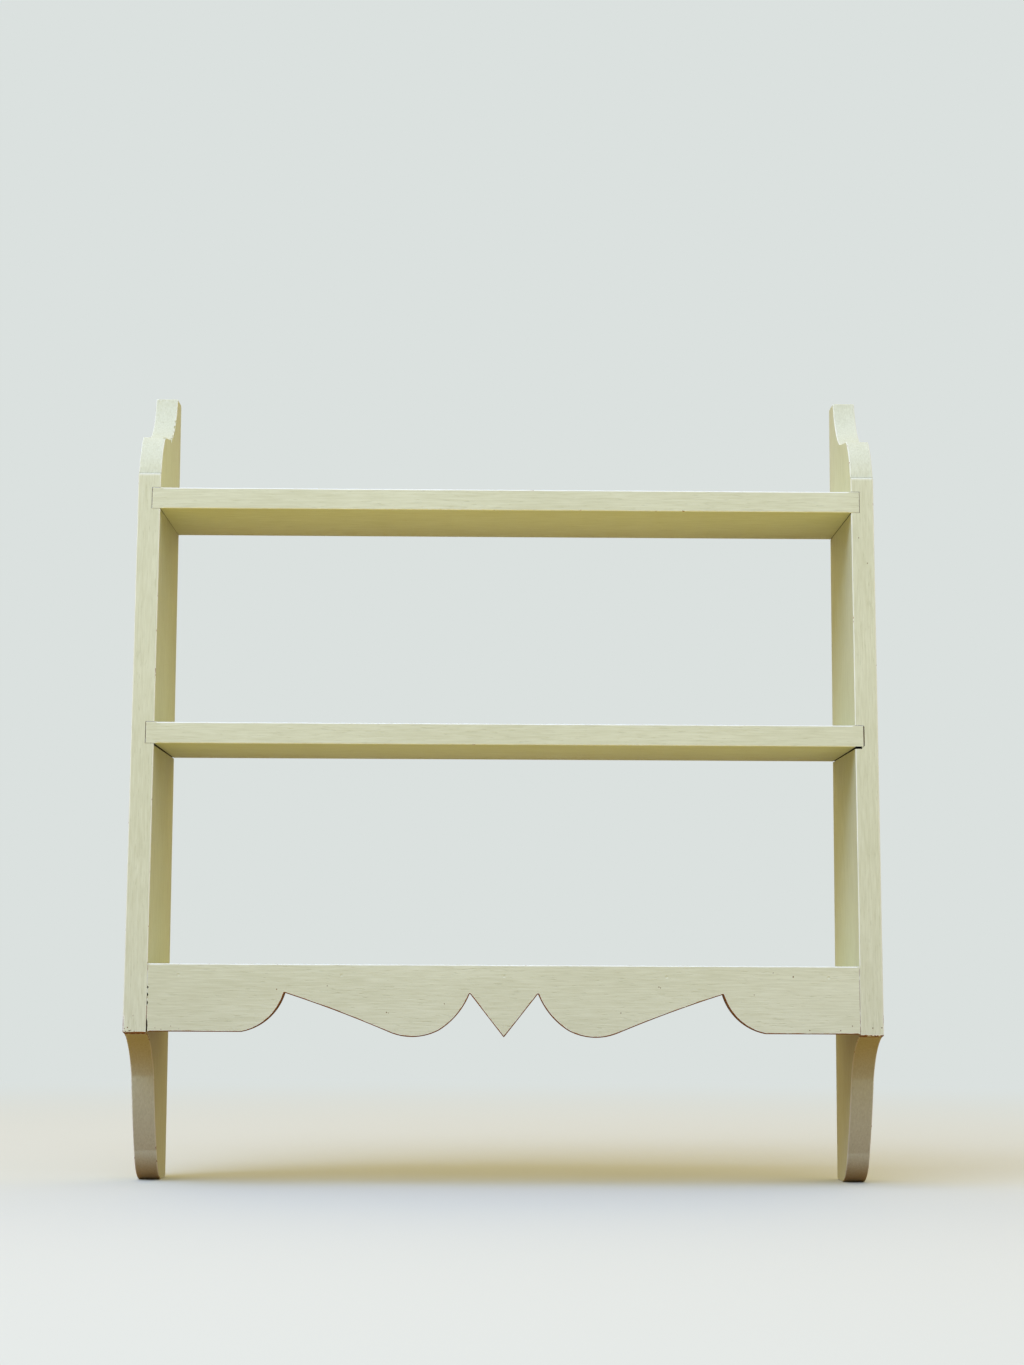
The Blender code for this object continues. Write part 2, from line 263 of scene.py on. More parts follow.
# Patterns in the paint: their sizes along the brushing and across it
DRIFT_SIZE = (0.16, 0.06)
STREAK_LENGTH = 0.02
RIDGE_LENGTH = 0.018
GRAIN_SIZE = (0.009, 0.0009)
RUBBING_SIZE = (0.008, 0.004)
WAVE_HEIGHT = 0.0006  # of the slow unevenness under the ridges
EGGSHELL_SPECULAR = 0.15

# Other finishes
PINE_GRAIN = 0.0015
ZINC_SPOTS = 0.004
ZINC_ROUGHNESS = 0.42
WIRE_SPOTS = 0.003
WIRE_ROUGHNESS = 0.5
SCUFF_HEIGHT = 0.00006


def rgb(text):
    """Linear colour of an sRGB hex value."""
    shares = [int(text[i : i + 2], 16) / 255 for i in (1, 3, 5)]
    return tuple(s / 12.92 if s <= 0.04045 else ((s + 0.055) / 1.055) ** 2.4 for s in shares)


def length(name, description, default):
    """Property of a size in metres."""
    return FloatProperty(
        name=name, description=description, default=default, min=0.0, unit="LENGTH", precision=5
    )


def colour(name, description, text):
    """Property of a colour, from its sRGB hex value."""
    return FloatVectorProperty(
        name=name, description=description, default=rgb(text), subtype="COLOR", min=0.0, max=1.0
    )


class WallShelfBoards(bpy.types.PropertyGroup):
    arris: length("Arris", "Rounding of the boards' edges", 0.0009)
    corner: length("Corner", "Rounding of the corners in a board's outline", 0.0013)
    wander: length("Wander", "How far a hand-planed edge strays from straight", 0.00018)
    joint_gap: length("Joint gap", "Open line between a shelf's end and its housing", 0.0002)
    dimple: length("Dimple", "Depth of the painted hollow over a sunk nail", 0.0003)


class WallShelfPaint(bpy.types.PropertyGroup):
    coat: colour("Paint", "Pale yellow green of the top coat", "#D5D8B9")
    thin: colour("Thin paint", "The same paint where the brush left less of it", "#C6C8A6")
    pores: colour("Pores", "Paint sunk into open grain", "#A8AA84")
    # Painted highlight: paler paint along the arrises stands in for the light they catch
    edge: colour("Edge", "Paint polished pale along the arrises", "#F0F3E6")
    wood: colour("Bare wood", "Old pine where the paint is rubbed off", "#8E5F2A")
    # Grime: real dirt, and also painted shade in the ovolo's crease and in the open joints
    grime: colour("Grime", "Dirt in pits and open joints", "#2E2214")
    # Soot: dust and painted shade, near black deep in the open joints
    soot: colour("Soot", "Nearly black dust deep in the open joints", "#120C06")
    ridge: length("Brush ridge", "Height of the ridges that the brush leaves", 0.00009)
    streak: length("Streak width", "Spacing of the brush streaks, coarse enough to show", 0.0012)


class WallShelfSteel(bpy.types.PropertyGroup):
    zinc: colour("Zinc", "Dull plating of the hanger plates", "#A9A59B")
    wire: colour("Wire", "Bare wire of the nails and pins", "#6A625A")
    rust: colour("Rust", "Brown stain on both", "#5B3B24")


class WallShelfStage(bpy.types.PropertyGroup):
    floor: colour("Floor", "Pale floor as it is seen", "#CBD0C6")
    ground: colour("Ground", "Brown floor that the shelf sees round its feet", "#80592C")
    shade: colour("Shade", "Dark warm tone low at the sides and behind", "#3A2210")
    below: colour("Below", "Warm light from far below in front", "#FFEC7C")
    bounce: colour("Bounce", "Weak warm light from low in front", "#8D712A")
    backdrop: colour("Backdrop", "Pale background", "#DBE1DF")
    haze: colour("Haze", "Weak light from the horizon in front", "#827365")
    glow: colour("Glow", "Cool light from halfway up in front", "#CEDBF0")
    sky: colour("Sky", "Soft light from above", "#BEB0C2")
    dusk: colour("Dusk", "Warm light from behind, above the floor", "#E4C860")
    flank: colour("Flank", "Warm light from both sides, above the floor", "#DBD185")
    sky_strength: FloatProperty(
        name="Sky strength", description="Level of the soft light", default=1.7, min=0.0
    )
    key: colour("Key light", "Cool tone of the softbox", "#B6CCFF")
    key_watts: FloatProperty(
        name="Key power", description="Power of the softbox", default=205.0, min=0.0, unit="POWER"
    )


class WallShelfSettings(bpy.types.PropertyGroup):
    boards: PointerProperty(type=WallShelfBoards)
    paint: PointerProperty(type=WallShelfPaint)
    steel: PointerProperty(type=WallShelfSteel)
    stage: PointerProperty(type=WallShelfStage)


# Outlines


def front_depth(z):
    """Distance from the wall to the sides' leaning front edge, at height z."""
    lean = (APRON_DEPTH - SHOULDER_DEPTH) / (SHOULDER_LEVEL - APRON_FOOT)
    return APRON_DEPTH - lean * (z - APRON_FOOT)


def at_low_corner(point):
    """Whether a point of a side's outline lies at its lower front corner."""
    return point.x > LOW_CORNER_DEPTH and point.y < APRON_FOOT + LOW_CORNER_RISE


def arc(start, end, bulge, steps=ARC_STEPS):
    """Points after start on the circular arc to end, which stands bulge off its chord, left of the way."""
    first = Vector(start)
    chord = Vector(end) - first
    leftward = Vector((-chord.y, chord.x)).normalized()
    radius = (chord.length_squared / 4 + bulge**2) / (2 * bulge)
    centre = first + chord / 2 + leftward * (bulge - radius)
    turn = -4 * math.atan2(2 * bulge, chord.length)
    spoke = first - centre
    return [tuple(centre + Matrix.Rotation(turn * i / steps, 2) @ spoke) for i in range(1, steps + 1)]


def side_outline():
    """A side's edge as (depth from the wall, height), down its front, along its foot and up the wall."""
    cove_foot = (CREST_WIDTH + COVE_WIDTH, CREST - COVE_HEIGHT)
    nose = (SHOULDER_DEPTH - OVOLO_WIDTH, SHOULDER_LEVEL + OVOLO_HEIGHT)
    lip = (front_depth(LIP_LEVEL), LIP_LEVEL)
    sweep_end = (SOLE_WIDTH + TIP_WIDTH + SHANK_WIDTH, LIP_LEVEL - SWEEP_HEIGHT)
    shank_end = (SOLE_WIDTH + TIP_WIDTH, sweep_end[1] - SHANK_HEIGHT)
    points = [(CREST_WIDTH, CREST)]
    points += arc(points[-1], cove_foot, -COVE_BULGE)
    points += [nose]
    points += arc(nose, (SHOULDER_DEPTH - SHOULDER_LEDGE, SHOULDER_LEVEL), OVOLO_BULGE)
    points += [(SHOULDER_DEPTH, SHOULDER_LEVEL), lip]
    points += arc(lip, sweep_end, -SWEEP_BULGE)
    points += arc(sweep_end, shank_end, SHANK_BULGE)
    points += arc(shank_end, (SOLE_WIDTH, SOLE), TIP_BULGE)
    round_bulge = HEEL_ROUND * (1 - math.sqrt(0.5))
    points += [(HEEL_ROUND, SOLE)]
    points += arc(points[-1], (0, SOLE + HEEL_ROUND), round_bulge, CORNER_STEPS)
    points += [(0, CREST - HEEL_ROUND)]
    points += arc(points[-1], (HEEL_ROUND, CREST), round_bulge, CORNER_STEPS)
    return points


def apron_outline():
    """The apron's edge as (across, height), from the middle drop's tip round its right half and back."""
    drop_cusp = (DROP_HALF_WIDTH, CUSP_LEVEL)
    heel = (drop_cusp[0] + LOBE_FLANK_WIDTH, APRON_FOOT + LOBE_HEEL_RISE)
    toe = (heel[0] + LOBE_BOWL_WIDTH, APRON_FOOT + LOBE_TOE_RISE)
    scallop_cusp = (toe[0] + LOBE_RAMP_WIDTH, CUSP_LEVEL)
    scallop_end = (scallop_cusp[0] + SCALLOP_WIDTH, APRON_FOOT)
    half = [drop_cusp]
    half += arc(drop_cusp, heel, -LOBE_FLANK_BULGE)
    half += arc(heel, toe, -LOBE_BOWL_BULGE)
    half += arc(toe, scallop_cusp, LOBE_RAMP_BULGE)
    half += arc(scallop_cusp, scallop_end, -SCALLOP_BULGE)
    half += [(APRON_HALF, APRON_FOOT), (APRON_HALF, APRON_TOP)]
    mirrored = [(-x, z) for x, z in reversed(half)]
    return [(0, APRON_FOOT - DROP_HANG)] + half + mirrored


def softened(points, radius):
    """The closed outline with its sharp corners rounded."""
    result = []
    for i, point in enumerate(points):
        corner = Vector(point)
        back = Vector(points[i - 1]) - corner
        onward = Vector(points[(i + 1) % len(points)]) - corner
        turn = math.pi - back.angle(onward)
        if turn < SOFT_CORNER:
            result.append(tuple(corner))
            continue
        tangent = min(radius * math.tan(turn / 2), CORNER_SHARE * back.length, CORNER_SHARE * onward.length)
        start = corner + back.normalized() * tangent
        end = corner + onward.normalized() * tangent
        bulge = tangent / math.tan(turn / 2) * (1 - math.cos(turn / 2))
        if (end - start).cross(corner - start) < 0:
            bulge = -bulge
        result.append(tuple(start))
        result += arc(start, end, bulge, CORNER_STEPS)
    return result


def finely(points, spacing=POINT_SPACING):
    """The closed outline with more points on its long stretches."""
    result = []
    for i, point in enumerate(points):
        start = Vector(points[i - 1])
        way = Vector(point) - start
        parts = max(1, math.ceil(way.length / spacing))
        result += [start + way * (k + 1) / parts for k in range(parts)]
    return result


def waver(point, pitch, seed):
    """Smooth noise from 0 to 1 along an outline, with waves about as long as the pitch."""
    return 0.5 + 0.5 * noise.noise(Vector((point[0] / pitch, point[1] / pitch, SEED_STEP * seed)))


# Meshes


def new_piece(name, bm, material):
    """Turn a bmesh into a named object of one material."""
    bmesh.ops.recalc_face_normals(bm, faces=bm.faces)
    mesh = bpy.data.meshes.new(name)
    bm.to_mesh(mesh)
    bm.free()
    mesh.materials.append(material)
    piece = bpy.data.objects.new(name, mesh)
    bpy.context.scene.collection.objects.link(piece)
    return piece


def add_board(bm, outline, place, thickness, rounding, worn):
    """Board of an outline, with rounded arrises round its near and far faces.

    place(u, v, depth) gives a point of the board, rounding(point, face) the radius at an outline point, and
    worn(point, share) how rubbed the edge is there, from the near face at share 0 to the far face at 1; the
    paint also turns this into a painted highlight along the arrises, and into painted shade where it is
    below 0.
    """
    # Wear of the paint, which the paint also uses for a painted highlight along the arrises and for painted
    # shade below 0
    wear = bm.verts.layers.float.new("wear")
    area = sum(outline[i - 1].cross(outline[i]) for i in range(len(outline)))
    chains = []
    for i, point in enumerate(outline):
        back = (point - outline[i - 1]).normalized()
        onward = (outline[(i + 1) % len(outline)] - point).normalized()
        along = (back + onward).normalized()
        inward = Vector((-along.y, along.x)) if area > 0 else Vector((along.y, -along.x))
        inward /= max(MITRE_LIMIT, along.dot(onward))
        chain = []
        for face in (0, 1):
            radius = rounding(point, face)
            for step in range(ARRIS_STEPS + 1):
                share = step / ARRIS_STEPS
                turn = math.pi / 2 * (share if face == 0 else 1 - share)
                spot = point + inward * radius * (1 - math.sin(turn))
                sink = radius * (1 - math.cos(turn))
                vert = bm.verts.new(place(spot.x, spot.y, sink if face == 0 else thickness - sink))
                on_face = step == (0 if face == 0 else ARRIS_STEPS)
                vert[wear] = 0.0 if on_face else worn(point, (share + face) / 2)
                chain.append(vert)
        chains.append(chain)
    for i, chain in enumerate(chains):
        for k in range(len(chain) - 1):
            bm.faces.new((chains[i - 1][k], chain[k], chain[k + 1], chains[i - 1][k + 1]))
    bm.faces.new([chain[0] for chain in chains])
    bm.faces.new([chain[-1] for chain in chains])


def add_prism(bm, near, far):
    """Solid between two outlines of as many points."""
    ends = [[bm.verts.new(point) for point in outline] for outline in (near, far)]
    for end in ends:
        bm.faces.new(end)
    for i in range(len(near)):
        bm.faces.new((ends[0][i - 1], ends[0][i], ends[1][i], ends[1][i - 1]))


def add_turned(bm, profile, head, way):
    """Round solid of a (radius, way in) profile, closed where the radius is 0."""
    turn = Matrix.Translation(head) @ Vector(way).to_track_quat("Z", "Y").to_matrix().to_4x4()
    rings = []
    for radius, distance in profile:
        count = ROUND_SIDES if radius > 0 else 1
        angles = [math.tau * k / ROUND_SIDES for k in range(count)]
        ring = [(radius * math.cos(a), radius * math.sin(a), distance) for a in angles]
        rings.append([bm.verts.new(turn @ Vector(point)) for point in ring])
    for first, second in zip(rings, rings[1:]):
        for k in range(ROUND_SIDES):
            around = ((first, k), (first, k + 1), (second, k + 1), (second, k))
            corners = [ring[j % len(ring)] for ring, j in around]
            bm.faces.new(list(dict.fromkeys(corners)))


def add_dimple(bm, point, way, radius, depth):
    """Ball that leaves a shallow round hollow where it dips into a face."""
    ball = (radius**2 + depth**2) / (2 * depth)
    half_turns = [math.pi * k / (2 * ARC_STEPS) for k in range(2 * ARC_STEPS + 1)]
    profile = [
        (ball * math.sin(a), depth - ball - ball * math.cos(math.pi - a)) for a in reversed(half_turns)
    ]
    profile[0] = (0, profile[0][1])
    profile[-1] = (0, profile[-1][1])
    add_turned(bm, profile, point, way)


def carve(piece, cutters):
    """Cut the cutters out of a piece for good; each cut face takes its cutter's material."""
    for cutter in cutters:
        modifier = piece.modifiers.new(cutter.name, "BOOLEAN")
        modifier.operation = "DIFFERENCE"
        modifier.solver = "MANIFOLD"
        modifier.object = cutter
        modifier.material_mode = "TRANSFER"
    bpy.context.view_layer.update()
    depsgraph = bpy.context.evaluated_depsgraph_get()
    mesh = bpy.data.meshes.new_from_object(piece.evaluated_get(depsgraph))
    if len(mesh.polygons) == 0:
        raise RuntimeError(f"nothing is left of {piece.name}")
    uncut = piece.data
    piece.modifiers.clear()
    piece.data = mesh
    bpy.data.meshes.remove(uncut)
    mesh.name = piece.name
    for cutter in cutters:
        bpy.data.meshes.remove(cutter.data)


def settle(piece, slot, *nodes):
    """Smooth a finished piece but for its sharp edges, parent it to the root and hide the frame's pieces
    that it stands in for.
    """
    piece.data.shade_smooth()
    piece.data.set_sharp_from_angle(angle=SHARP_EDGE)
    weighted = piece.modifiers.new("flat faces stay flat", "WEIGHTED_NORMAL")
    weighted.keep_sharp = True
    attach(piece, "root")
    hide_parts(*nodes)


def fastener_holes(name, nodes, axis, clearance, material):
    """Cutter of plain round holes that take the frame's fasteners, along one axis."""
    bm = bmesh.new()
    for node in nodes:
        low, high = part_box(node)
        across = [k for k in range(3) if k != axis]
        radius = max(high[k] - low[k] for k in across) / 2 + clearance
        head = (low + high) / 2
        head[axis] = low[axis] - clearance
        way = [0, 0, 0]
        way[axis] = 1
        reach = high[axis] - low[axis] + 2 * clearance
        add_turned(bm, [(0, 0), (radius, 0), (radius, reach), (0, reach)], head, way)
    return new_piece(name, bm, material)


# Materials


def add(tree, kind, inputs=(), **settings):
    """Add a node to a tree, with its settings, and link or set its inputs."""
    node = tree.nodes.new(kind)
    for key, value in settings.items():
        setattr(node, key, value)
    for key, value in dict(inputs).items():
        if isinstance(value, bpy.types.NodeSocket):
            tree.links.new(value, node.inputs[key])
        else:
            node.inputs[key].default_value = value
    return node


def seen_rays(tree):
    """1 for the rays that show the pale backdrop: straight to the camera, or by way of metal or glass."""
    rays = add(tree, "ShaderNodeLightPath").outputs
    seen = rays["Is Camera Ray"]
    for kind in ("Is Glossy Ray", "Is Transmission Ray"):
        seen = add(tree, "ShaderNodeMath", {0: seen, 1: rays[kind]}, operation="MAXIMUM").outputs[0]
    return seen


def new_material(name):
    """A material with its node tree and its principled shader."""
    material = bpy.data.materials.new(name)
    material.use_nodes = True
    return material, material.node_tree, material.node_tree.nodes["Principled BSDF"]


def brushed_paint(name, along):
    """Eggshell oil paint, brushed on planed pine along axis 0 (across the shelf) or 2 (up and down).

    It shows fine ridges and streaks along the boards, grain sunk through the film, a tone that drifts from
    place to place, a painted highlight in pale paint along the arrises, brown wood where the edges are
    rubbed, and painted shade in the grime colour where the wear attribute is below 0.
    """
    paint = bpy.context.scene.wall_shelf.paint
    material, tree, shader = new_material(name)
    place = add(tree, "ShaderNodeTexCoord").outputs["Object"]
    wear = add(tree, "ShaderNodeAttribute", attribute_name="wear").outputs["Fac"]
    patterns = []
    for (size_along, size_across), detail in (
        (DRIFT_SIZE, 2.0),
        ((STREAK_LENGTH, paint.streak), 3.0),
        ((RIDGE_LENGTH, paint.streak / 2), 2.0),
        (GRAIN_SIZE, 2.0),
        (RUBBING_SIZE, 5.0),
    ):
        scale = [1 / size_across] * 3
        scale[along] = 1 / size_along
        spot = add(tree, "ShaderNodeVectorMath", {0: place, 1: scale}, operation="MULTIPLY").outputs[0]
        pattern = add(tree, "ShaderNodeTexNoise", {"Vector": spot, "Scale": 1.0, "Detail": detail})
        patterns.append(pattern.outputs["Fac"])
    drift, streaks, ridges, grain, rubbing = patterns

    # Where the film is thin, where grain shows through it, where a painted highlight lies along the
    # arrises, where the paint is gone or dirty, and where painted shade darkens a crease
    film = add(tree, "ShaderNodeMath", {0: drift, 1: 0.5, 2: streaks}, operation="MULTIPLY_ADD").outputs[0]
    thinness = add(tree, "ShaderNodeMapRange", {0: film, 1: 0.5, 2: 1.0, 3: 0.0, 4: 1.0}).outputs[0]
    pores = add(tree, "ShaderNodeMapRange", {0: grain, 1: 0.62, 2: 0.74, 3: 0.0, 4: 1.0}).outputs[0]
    sunk = add(tree, "ShaderNodeMath", {0: pores, 1: 0.35}, operation="MULTIPLY").outputs[0]
    # Painted highlight: pale paint on every arris that has any wear
    edge_highlight = add(tree, "ShaderNodeMapRange", {0: wear, 1: 0.0, 2: 0.12, 3: 0.0, 4: 0.8}).outputs[0]
    hold = add(tree, "ShaderNodeMapRange", {0: rubbing, 1: 0.28, 2: 0.72, 3: 0.0, 4: 1.0}).outputs[0]
    gone = add(tree, "ShaderNodeMath", {0: wear, 1: hold}, operation="SUBTRACT").outputs[0]
    bare = add(tree, "ShaderNodeMapRange", {0: gone, 1: 0.0, 2: 0.1, 3: 0.0, 4: 1.0}).outputs[0]
    dirt = add(tree, "ShaderNodeMapRange", {0: rubbing, 1: 0.4, 2: 0.8, 3: 0.0, 4: 0.55}).outputs[0]
    # Painted shade: grime colour where the wear is below 0, in the crease at the ovolo's foot
    crease_shade = add(tree, "ShaderNodeMapRange", {0: wear, 1: -0.1, 2: -1.0, 3: 0.0, 4: 1.0}).outputs[0]

    # Colour, layer over layer
    # Grime colour: real dirt on bare wood, and painted shade where the wear is below 0
    grime = (*paint.grime, 1)
    wood = add(tree, "ShaderNodeMix", {0: dirt, 6: (*paint.wood, 1), 7: grime}, data_type="RGBA").outputs[2]
    surface = (*paint.coat, 1)
    for share, tone in (
        (thinness, (*paint.thin, 1)),
        (sunk, (*paint.pores, 1)),
        (edge_highlight, (*paint.edge, 1)),
        (bare, wood),
        (crease_shade, grime),
    ):
        surface = add(tree, "ShaderNodeMix", {0: share, 6: surface, 7: tone}, data_type="RGBA").outputs[2]
    tree.links.new(surface, shader.inputs["Base Color"])

    # Shine, uneven along the streaks and lost on bare wood
    sheen = add(tree, "ShaderNodeMapRange", {0: streaks, 1: 0.3, 2: 0.7, 3: 0.6, 4: 0.74}).outputs[0]
    rough = add(tree, "ShaderNodeMix", {0: bare, 2: sheen, 3: 0.75}, data_type="FLOAT").outputs[0]
    tree.links.new(rough, shader.inputs["Roughness"])
    shader.inputs["Specular IOR Level"].default_value = EGGSHELL_SPECULAR

    # Relief: brush ridges and open pores on a slowly uneven board
    height = add(tree, "ShaderNodeMath", {0: ridges, 1: pores}, operation="SUBTRACT").outputs[0]
    waves = add(tree, "ShaderNodeBump", {"Height": drift, "Distance": WAVE_HEIGHT, "Strength": 1.0})
    bump = add(
        tree,
        "ShaderNodeBump",
        {"Height": height, "Distance": paint.ridge, "Strength": 1.0, "Normal": waves.outputs[0]},
    )
    tree.links.new(bump.outputs[0], shader.inputs["Normal"])
    return material


def bare_pine(name, pale, dark):
    """Old unpainted pine inside joints and holes, dark and dull, with its grain or the dust on it; near
    black, as in the open joints, it is dust and painted shade at once.
    """
    material, tree, shader = new_material(name)
    place = add(tree, "ShaderNodeTexCoord").outputs["Object"]
    grain = add(tree, "ShaderNodeTexNoise", {"Vector": place, "Scale": 1 / PINE_GRAIN, "Detail": 3.0})
    share = grain.outputs["Fac"]
    tone = add(tree, "ShaderNodeMix", {0: share, 6: (*pale, 1), 7: (*dark, 1)}, data_type="RGBA")
    tree.links.new(tone.outputs[2], shader.inputs["Base Color"])
    shader.inputs["Roughness"].default_value = 0.85
    return material


def dull_metal(name, tone, spot_size, roughness):
    """Plated or bare steel gone dull, with rust-brown spots and a scuffed, uneven shine."""
    steel = bpy.context.scene.wall_shelf.steel
    material, tree, shader = new_material(name)
    place = add(tree, "ShaderNodeTexCoord").outputs["Object"]
    mottle = add(tree, "ShaderNodeTexNoise", {"Vector": place, "Scale": 1 / spot_size, "Detail": 6.0})
    spots = mottle.outputs["Fac"]
    stain = add(tree, "ShaderNodeMapRange", {0: spots, 1: 0.56, 2: 0.68, 3: 0.0, 4: 1.0}).outputs[0]
    base = add(tree, "ShaderNodeMix", {0: stain, 6: (*tone, 1), 7: (*steel.rust, 1)}, data_type="RGBA")
    tree.links.new(base.outputs[2], shader.inputs["Base Color"])
    scuffs = {0: spots, 1: 0.3, 2: 0.7, 3: roughness - 0.1, 4: roughness + 0.2}
    tree.links.new(add(tree, "ShaderNodeMapRange", scuffs).outputs[0], shader.inputs["Roughness"])
    shader.inputs["Metallic"].default_value = 1.0
    bump = add(tree, "ShaderNodeBump", {"Height": spots, "Distance": SCUFF_HEIGHT, "Strength": 1.0})
    tree.links.new(bump.outputs[0], shader.inputs["Normal"])
    return material


def material_of(name, make, *values):
    """A material that pieces share, made when it is first asked for."""
    return bpy.data.materials.get(name) or make(name, *values)


def woods(along):
    """The paint brushed along an axis, the bare pine of fresh cuts, and the near-black pine of open joints,
    dust and painted shade.
    """
    paint = bpy.context.scene.wall_shelf.paint
    return (
        material_of(f"eggshell_paint_{'xyz'[along]}", brushed_paint, along),
        material_of("bare_pine", bare_pine, paint.wood, paint.grime),
        # Near-black dusty pine: dust and painted shade in the open joints
        material_of("dusty_pine", bare_pine, paint.grime, paint.soot),
    )


# Operators


class WALLSHELF_OT_sides(bpy.types.Operator):
    """Make both side boards, with their housings, and the filled nail holes on their outer faces"""

    bl_idname = "wall_shelf.make_sides"
    bl_label = "Make Sides"

    def execute(self, context):
        boards = context.scene.wall_shelf.boards
        paint, pine, dust_and_shade = woods(2)
        outline = finely(softened(side_outline(), boards.corner))
        for side, sign in (("left", -1), ("right", 1)):
            bm = bmesh.new()
            add_board(
                bm,
                [self.strayed(point, boards.wander, sign) for point in outline],
                lambda depth, z, across, sign=sign: (sign * (INNER_HALF + across), -depth, z),
                HALF_WIDTH - INNER_HALF,
                lambda point, face, sign=sign: self.rounding(point, face, sign, boards.arris),
                lambda point, share, sign=sign: self.worn(point, share, sign),
            )
            piece = new_piece(f"{side}_side_board", bm, paint)
            nails = [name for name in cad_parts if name.endswith("nail") and f"_{side}_" in name]
            cutters = [
                self.housings(sign, boards.joint_gap, pine),
                self.open_gaps(sign, dust_and_shade),
                fastener_holes("nail_holes", nails, 0, boards.joint_gap, pine),
                self.dimples(nails, sign, boards.dimple, paint),
                self.pits(sign, pine),
            ]
            if side == "left":
                cutters.append(self.chips(paint))
            carve(piece, cutters)
            settle(piece, "painted_wood", f"{side}_side")
        return {"FINISHED"}

    @staticmethod
    def strayed(point, wander, seed):
        """A point of the front or the ornament, moved back a little; the wall edge stays straight."""
        return Vector((point.x * (1 - wander / APRON_DEPTH * waver(point, pitch=0.05, seed=seed)), point.y))

    @staticmethod
    def rounding(point, face, sign, arris):
        """Arris radius: uneven, and small where the apron's end lies flush."""
        at_apron = point.x > APRON_DEPTH - APRON_BAND and APRON_FOOT < point.y < APRON_TOP
        if face == 0 and at_apron:
            return 0.25 * arris
        if face == 1 and sign < 0 and at_low_corner(point):
            return 1.6 * arris
        return arris * (0.75 + 0.5 * waver(point, pitch=0.02, seed=sign + 2 * face))

    @staticmethod
    def worn(point, share, sign):
        """Rubbing: most at the lip and the left side's low corner, with painted shade in the crease at the
        ovolo's foot and a painted highlight on the ledge's front arris.
        """
        on_arris = math.sin(math.tau * share) ** 2
        low_corner = at_low_corner(point)
        at_shoulder = abs(point.y - SHOULDER_LEVEL) < SHOULDER_BAND
        # Painted shade in the crease at the ovolo's foot (below 0), and a little pale paint as a painted
        # highlight on the ledge's front arris
        if at_shoulder and point.x > SHOULDER_DEPTH - 2 * SHOULDER_LEDGE:
            return 0.05 if point.x > SHOULDER_DEPTH - SHOULDER_LEDGE / 2 else -0.3
        if point.x > LIP_DEPTH and abs(point.y - LIP_LEVEL) < LIP_BAND:
            return 0.8 if sign < 0 else 0.65
        if low_corner and sign < 0:
            return 0.95 * on_arris
        if low_corner or point.x < BACK_BAND or point.y < SOLE + BACK_BAND:
            return 0.42 * on_arris
        return (0.12 if point.y > SHOULDER_LEVEL else 0.2) * on_arris

    @staticmethod
    def housings(sign, gap, material):
        """Cutter of the three grooves that the shelf ends go into."""
        bm = bmesh.new()
        for name, (low, high) in SHELF_BOXES.items():
            joint = JOINTS[name, sign]
            inner, outer = INNER_HALF - CUT_REACH, SHELF_REACH + joint.end_gap
            foot, head = low.z - gap, high.z + gap
            corners = softened([(inner, foot), (outer, foot), (outer, head), (inner, head)], joint.corner)
            front = low.y - (gap if name == "bottom" else CUT_REACH)
            add_prism(bm, *([(sign * x, y, z) for x, z in corners] for y in (CUT_REACH, front)))
        return new_piece("housings", bm, material)

    @staticmethod
    def open_gaps(sign, material):
        """Cutter of the gaps that have opened under the shelves, lined with near-black dust and painted
        shade.
        """
        bm = bmesh.new()
        for name, (low, _) in SHELF_BOXES.items():
            joint = JOINTS[name, sign]
            front = -low.y - joint.start
            above = low.z + GAP_OVERLAP
            corners = [(-CUT_REACH, low.z - joint.wall_gap), (front, low.z - joint.front_gap)]
            corners += [(front, above), (-CUT_REACH, above)]
            ends = (sign * (INNER_HALF - CUT_REACH), sign * (INNER_HALF + GAP_DEPTH))
            add_prism(bm, *([(x, -depth, z) for depth, z in corners] for x in ends))
        return new_piece("open_gaps", bm, material)

    @staticmethod
    def chips(material):
        """Cutter of the ragged chips along the inner edge of the left ornament's cove."""
        bm = bmesh.new()
        cove = arc((CREST_WIDTH, CREST), (CREST_WIDTH + COVE_WIDTH, CREST - COVE_HEIGHT), -COVE_BULGE)
        ledge = Vector((SHOULDER_DEPTH - OVOLO_WIDTH, SHOULDER_LEVEL + OVOLO_HEIGHT)) - Vector(cove[-1])
        for number, (share, radius) in enumerate(CHIPS):
            depth, z = cove[min(ARC_STEPS, round(share * ARC_STEPS)) - 1]
            if share > 1:
                depth, z = Vector(cove[-1]) + ledge * (share - 1) / CHIP_LEDGE
            outward = CHIP_OUTWARD * radius
            spot = Vector((-INNER_HALF + CHIP_INWARD * radius, -depth - outward, z + outward))
            middle = Matrix.Translation(spot)
            ball = bmesh.ops.create_icosphere(bm, subdivisions=3, radius=radius, matrix=middle)
            for vert in ball["verts"]:
                way = (vert.co - spot) / radius
                ragged = CHIP_RAGGEDNESS * noise.noise(way * CHIP_ROUGHNESS + Vector((number, 0, 0)))
                vert.co = spot + way * radius * (1 + ragged)
        return new_piece("chips", bm, material)

    @staticmethod
    def pits(sign, material):
        """Cutter of the dark pits in a side's front edge."""
        bm = bmesh.new()
        for x, z, radius in SIDE_PITS[sign]:
            add_dimple(bm, (x, -front_depth(z), z), (0, 1, 0), radius, SIDE_PIT_DEPTH * radius)
        return new_piece("side_pits", bm, material)

    @staticmethod
    def dimples(nails, sign, depth, material):
        """Cutter of the shallow hollows over the sunk nail heads."""
        bm = bmesh.new()
        for name in nails:
            low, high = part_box(name)
            middle = (low + high) / 2
            add_dimple(bm, (sign * HALF_WIDTH, middle.y, middle.z), (-sign, 0, 0), NAIL_HOLLOW, depth)
        return new_piece("nail_dimples", bm, material)


